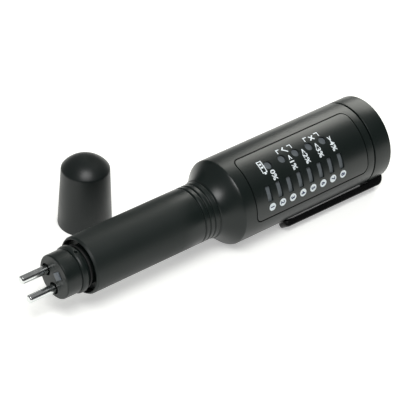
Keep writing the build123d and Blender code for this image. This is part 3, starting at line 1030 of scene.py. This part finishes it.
def spring(name, node, turns, radius, y=0.0, z=0.0):
    """A coil spring in the place of a CAD node. Also says where that node starts and ends."""
    start, end = station(node, 0), station(node, 1)
    made = grown(
        from_points(name, [(0, 0, 0), (1, 0, 0), (0, 1, 0)], [[0, 1, 2]]),
        COIL,
        Turns=turns,
        Radius=radius,
        Length=end - start - 2 * WIRE_R,
        Wire=WIRE_R,
        Material=spring_steel,
    )
    return moved(made, Matrix.Translation((start + WIRE_R, y, z)) @ along_x), start, end


for number, side in ((1, -5.35), (2, 5.35)):
    node = f"battery_spring_{number}"
    cell_spring, _, _ = spring(f"cell_spring_{number}", node, 3.5, 1.5, side, -2.0)
    placed(cell_spring, "tail_cap", "spring_steel", [node])

# the button's own spring, between the switch plate and the button, goes on neither body and keeps
# its place in its mesh
button_coil, start, end = spring("button_coil", "button_spring", 3.0, BUTTON_FLANGE_R - 0.6)
placed(
    button_coil,
    ("tail_cap", "push_button"),
    "spring_steel",
    ["button_spring"],
    across=((start + 0.4, 0, 0), (end - 0.4, 0, 0)),
)

# ------------------------------------------------------------------ pocket clip

CLIP_INNER = BODY_R + 0.35
CLIP_OUTER = CLIP_INNER + 2.05
CLIP_HALF = 2.5
CLIP_LEAN = 0.007  # the bar stands off further towards its root
CLIP_FRONT = CLIP_TIP + 1.2
CLIP_BACK = CLIP_END + 0.95
CLIP_FOOT = CLIP_END - 5.9  # from here to the back the clip goes down into its seat
CLIP_EDGE = 0.4
BUMP_MIDDLE = CLIP_TIP + 4.0  # the bump that holds the pocket's cloth
BUMP_R = 2.4
FRONT_ROUND, FRONT_SIDE_ROUND, BACK_ROUND = 1.6, 1.8, 3.0


def quarter(distance, radius):
    """How far a round end of this radius stands in at a distance from where it starts."""
    return radius - sqrt(max(0.0, radius**2 - max(0.0, distance) ** 2))


def clip_section(along):
    """(inner, outer, half width) of the clip at a station."""
    lean = CLIP_LEAN * (along - CLIP_TIP)
    outer = CLIP_OUTER + lean - quarter(CLIP_FRONT + FRONT_ROUND - along, FRONT_ROUND)
    outer -= quarter(along - CLIP_BACK + BACK_ROUND, BACK_ROUND)
    half = CLIP_HALF - quarter(CLIP_FRONT + FRONT_SIDE_ROUND - along, FRONT_SIDE_ROUND)
    inner = CLIP_INNER if along < CLIP_FOOT else CLIP_SEAT
    off = abs(along - BUMP_MIDDLE)
    if off < BUMP_R:
        inner = min(inner, BODY_R + 0.05 + BUMP_R - sqrt(BUMP_R**2 - off**2))
    return inner, outer, half


def make_clip():
    """The clip, as sections from its tip to its root, closer together where it is rounded."""
    stations = [CLIP_FRONT + 0.02 + 0.15 * k for k in range(60)]
    stations += [CLIP_TIP + 9.5 + 1.2 * k for k in range(25)]
    stations += [CLIP_FOOT - 0.05, CLIP_FOOT + 0.01]
    stations += [CLIP_BACK - 5.0 + 0.25 * k for k in range(12)]
    stations += [CLIP_BACK - 2.0 + 0.1 * k for k in range(20)] + [CLIP_BACK]
    stations = sorted(s for s in stations if s <= CLIP_BACK)
    points, faces = [], []
    for along in stations:
        inner, outer, half = clip_section(along)
        edge = min(CLIP_EDGE, half * 0.9, (outer - inner) * 0.45)
        corners = [
            (inner, -half, edge * 0.5),
            (outer, -half, edge),
            (outer, half, edge),
            (inner, half, edge * 0.5),
        ]
        ring = soften(corners, 4)
        points += [(along, -p.x, p.y) for p in ring]
        size = len(ring)
    for i in range(len(stations) - 1):
        for k in range(size):
            after = (k + 1) % size
            here, ahead = i * size, (i + 1) * size
            faces.append([here + k, here + after, ahead + after, ahead + k])
    faces += [range(size), range(len(points) - size, len(points))]
    return from_points("clip_bar", points, faces)


placed(make_clip(), "pocket_clip", "clip_plastic", ["pocket_clip"])

# ------------------------------------------------------------------ probe cap

CAP_RIM_R = 8.4
CAP_RIM_HEIGHT = 22.4
CAP_BORE_R = 6.9
CAP_MOUTH_R = 7.75
CAP_STEP = 8.0  # how deep the wider mouth goes
CAP_CHAMFER = 0.5


def dome():
    """The cap's domed top, from just inside its crease to the middle."""
    rise = CAP_TOP - CAP_RIM_HEIGHT
    radius = (CAP_RIM_R**2 + rise**2) / (2 * rise)
    first = atan2(CAP_RIM_R, radius - rise)
    steps = 24
    ways = [first * (1 - k / steps) for k in range(1, steps + 1)]
    return [(CAP_TOP - radius + radius * cos(w), radius * sin(w)) for w in ways]


cap = turned(
    "cap_shell",
    [
        (0, CAP_MOUTH_R + CAP_CHAMFER),
        (0, CAP_BASE_R, 0.25),
        (CAP_RIM_HEIGHT, CAP_RIM_R, 1.1),
        *dome(),
        (CAP_TOP - 2, 0),
        (CAP_RIM_HEIGHT - 1.5, CAP_BORE_R, 1.0),
        (CAP_STEP, CAP_BORE_R),
        (CAP_STEP, CAP_MOUTH_R),
        (CAP_CHAMFER, CAP_MOUTH_R),
    ],
)
placed(cap, "probe_cap", "cap_plastic", ["probe_cap"], matrix=STAND)

# ------------------------------------------------------------------ table, room and lamps


def seen_level(tree, level):
    """One level for camera, glossy and transmission rays alike, and nothing for the rest."""
    seen = add(tree, "ShaderNodeLightPath")
    shiny = add(
        tree,
        "ShaderNodeMath",
        None,
        {0: seen.outputs["Is Glossy Ray"], 1: seen.outputs["Is Transmission Ray"]},
        operation="MAXIMUM",
    )
    seen_or_shiny = add(
        tree,
        "ShaderNodeMath",
        None,
        {0: seen.outputs["Is Camera Ray"], 1: shiny.outputs[0]},
        operation="MAXIMUM",
    )
    return add(
        tree, "ShaderNodeMath", {1: level}, {0: seen_or_shiny.outputs[0]}, operation="MULTIPLY"
    ).outputs[0]


TABLE_GLOW = 0.4  # with the light that the lamps leave on it, the table comes out white
TABLE_REACH = 4.0
ROOM_LEVEL = 0.24

table_paint, tree = new_material("matt white table")
grain = add(
    tree,
    "ShaderNodeTexNoise",
    {"Scale": 1 / (3 * MM), "Detail": 3.0},
    {"Vector": add(tree, "ShaderNodeTexCoord").outputs["Object"]},
)
bump = add(
    tree,
    "ShaderNodeBump",
    {"Strength": 0.3, "Distance": 0.05 * MM},
    {"Height": grain.outputs["Fac"]},
)
matt = add(
    tree,
    "ShaderNodeBsdfDiffuse",
    {"Color": colour("f3f4f0")},
    {"Normal": bump.outputs["Normal"]},
)
glow = add(
    tree,
    "ShaderNodeEmission",
    {"Color": (1, 1, 1, 1)},
    {"Strength": seen_level(tree, TABLE_GLOW)},
)
both = add(tree, "ShaderNodeAddShader", None, {0: matt.outputs[0], 1: glow.outputs[0]})
add(tree, "ShaderNodeOutputMaterial", None, {"Surface": both.outputs[0]})
corners = [(x * TABLE_REACH, y * TABLE_REACH, 0) for x, y in ((-1, -1), (1, -1), (1, 1), (-1, 1))]
table = from_points("table", corners, [[0, 1, 2, 3]])
table.data.materials.append(table_paint)

world = bpy.data.worlds.new("pale grey room")
bpy.context.scene.world = world
world.use_nodes = True
tree = world.node_tree
tree.nodes.clear()
ground = add(tree, "ShaderNodeBackground", {"Color": (1, 1, 1, 1), "Strength": ROOM_LEVEL})
add(tree, "ShaderNodeOutputWorld", None, {"Surface": ground.outputs[0]})


def studio_shade(name, level, points, faces):
    """A studio shade of a plain dark level, which only shiny surfaces see."""
    paint, tree = new_material(name)
    dark = add(tree, "ShaderNodeEmission", {"Color": (level, level, level * 1.03, 1)})
    add(tree, "ShaderNodeOutputMaterial", None, {"Surface": dark.outputs[0]})
    made = from_points(name.replace(" ", "_"), points, faces)
    made.data.materials.append(paint)
    made.visible_camera = False
    made.visible_diffuse = False
    made.visible_shadow = False
    made.visible_transmission = False


def flag(around, rise, reach, rows=16, turns=48):
    """Part of a dome. around and rise are its span in degrees, from +X and up from the table."""
    points, faces = [], []
    for i in range(rows + 1):
        up = radians(rise[0] + (rise[1] - rise[0]) * i / rows)
        for k in range(turns + 1):
            way = radians(around[0] + (around[1] - around[0]) * k / turns)
            flat = reach * cos(up)
            points.append((flat * cos(way), flat * sin(way), reach * sin(up)))
    for i in range(rows):
        for k in range(turns):
            here = i * (turns + 1) + k
            faces.append([here, here + 1, here + turns + 2, here + turns + 1])
    return points, faces


def card(centre, along, across):
    """A flat oblong."""
    middle, one, two = Vector(centre), Vector(along) / 2, Vector(across) / 2
    corners = [middle - one - two, middle + one - two, middle + one + two, middle - one + two]
    return corners, [[0, 1, 2, 3]]


# the flag keeps the camera's side of the room dark, and the card keeps a lamp's image out of
# the cap's dome
studio_shade("black flag", 0.06, *flag((-165, 2), (1, 43), 1.6))
card_sides = ((0.023, -0.021, 0), (-0.0085, -0.0095, 0.019))
studio_shade("small black card", 0.05, *card((0.003, 0.0255, 0.0405), *card_sides))


def softbox(name, place, aim, width, height, radiance, tint=(1, 1, 1)):
    """A rectangular lamp. Its watts follow from how bright its face is."""
    light = bpy.data.lights.new(name, "AREA")
    light.shape = "RECTANGLE"
    light.size = width
    light.size_y = height
    light.energy = radiance * pi * width * height
    light.color = tint
    lamp = bpy.data.objects.new(name, light)
    bpy.context.scene.collection.objects.link(lamp)
    lamp.location = place
    lamp.rotation_euler = (Vector(aim) - Vector(place)).to_track_quat("-Z", "Y").to_euler()


# close by, past the tail: the body sees all of it, the grip and the cap hardly its edge
softbox(
    "window_side_softbox",
    place=(0.266, 0.129, 0.207),
    aim=(0.05, -0.117, -0.032),
    width=0.2,
    height=0.22,
    radiance=4.8,
    tint=(1, 1, 0.94),
)
softbox(
    "lamp_above_camera",
    place=(-0.19, -0.235, 0.57),
    aim=(-0.02, 0.02, 0.02),
    width=0.34,
    height=0.3,
    radiance=8.4,
)

# ------------------------------------------------------------------ camera

AZIMUTH = radians(41.22)
ELEVATION = radians(36.18)
ROLL = radians(2.826)
DISTANCE = 0.8033
AIM = Vector((0.016, 0.0056, 0))
LENS = 207.3  # mm, on a sensor 36 mm wide
NUDGE = 0.00125  # of the frame's width, left and up

forward = Vector((cos(ELEVATION) * sin(AZIMUTH), cos(ELEVATION) * cos(AZIMUTH), -sin(ELEVATION)))
aside = Vector((cos(AZIMUTH), -sin(AZIMUTH), 0))
upward = aside.cross(forward)
right = aside * cos(ROLL) + upward * sin(ROLL)
top = upward * cos(ROLL) - aside * sin(ROLL)
lens = bpy.data.cameras.new("camera")
lens.lens = LENS
lens.sensor_width = 36
lens.clip_start = 0.01
lens.shift_x = -NUDGE
lens.shift_y = NUDGE
camera = bpy.data.objects.new("camera", lens)
bpy.context.scene.collection.objects.link(camera)
place = AIM - forward * DISTANCE
turn = Matrix((right, top, -forward)).transposed()
camera.matrix_world = Matrix.Translation(place) @ turn.to_4x4()
bpy.context.scene.camera = camera
bpy.context.scene.view_settings.view_transform = "Standard"
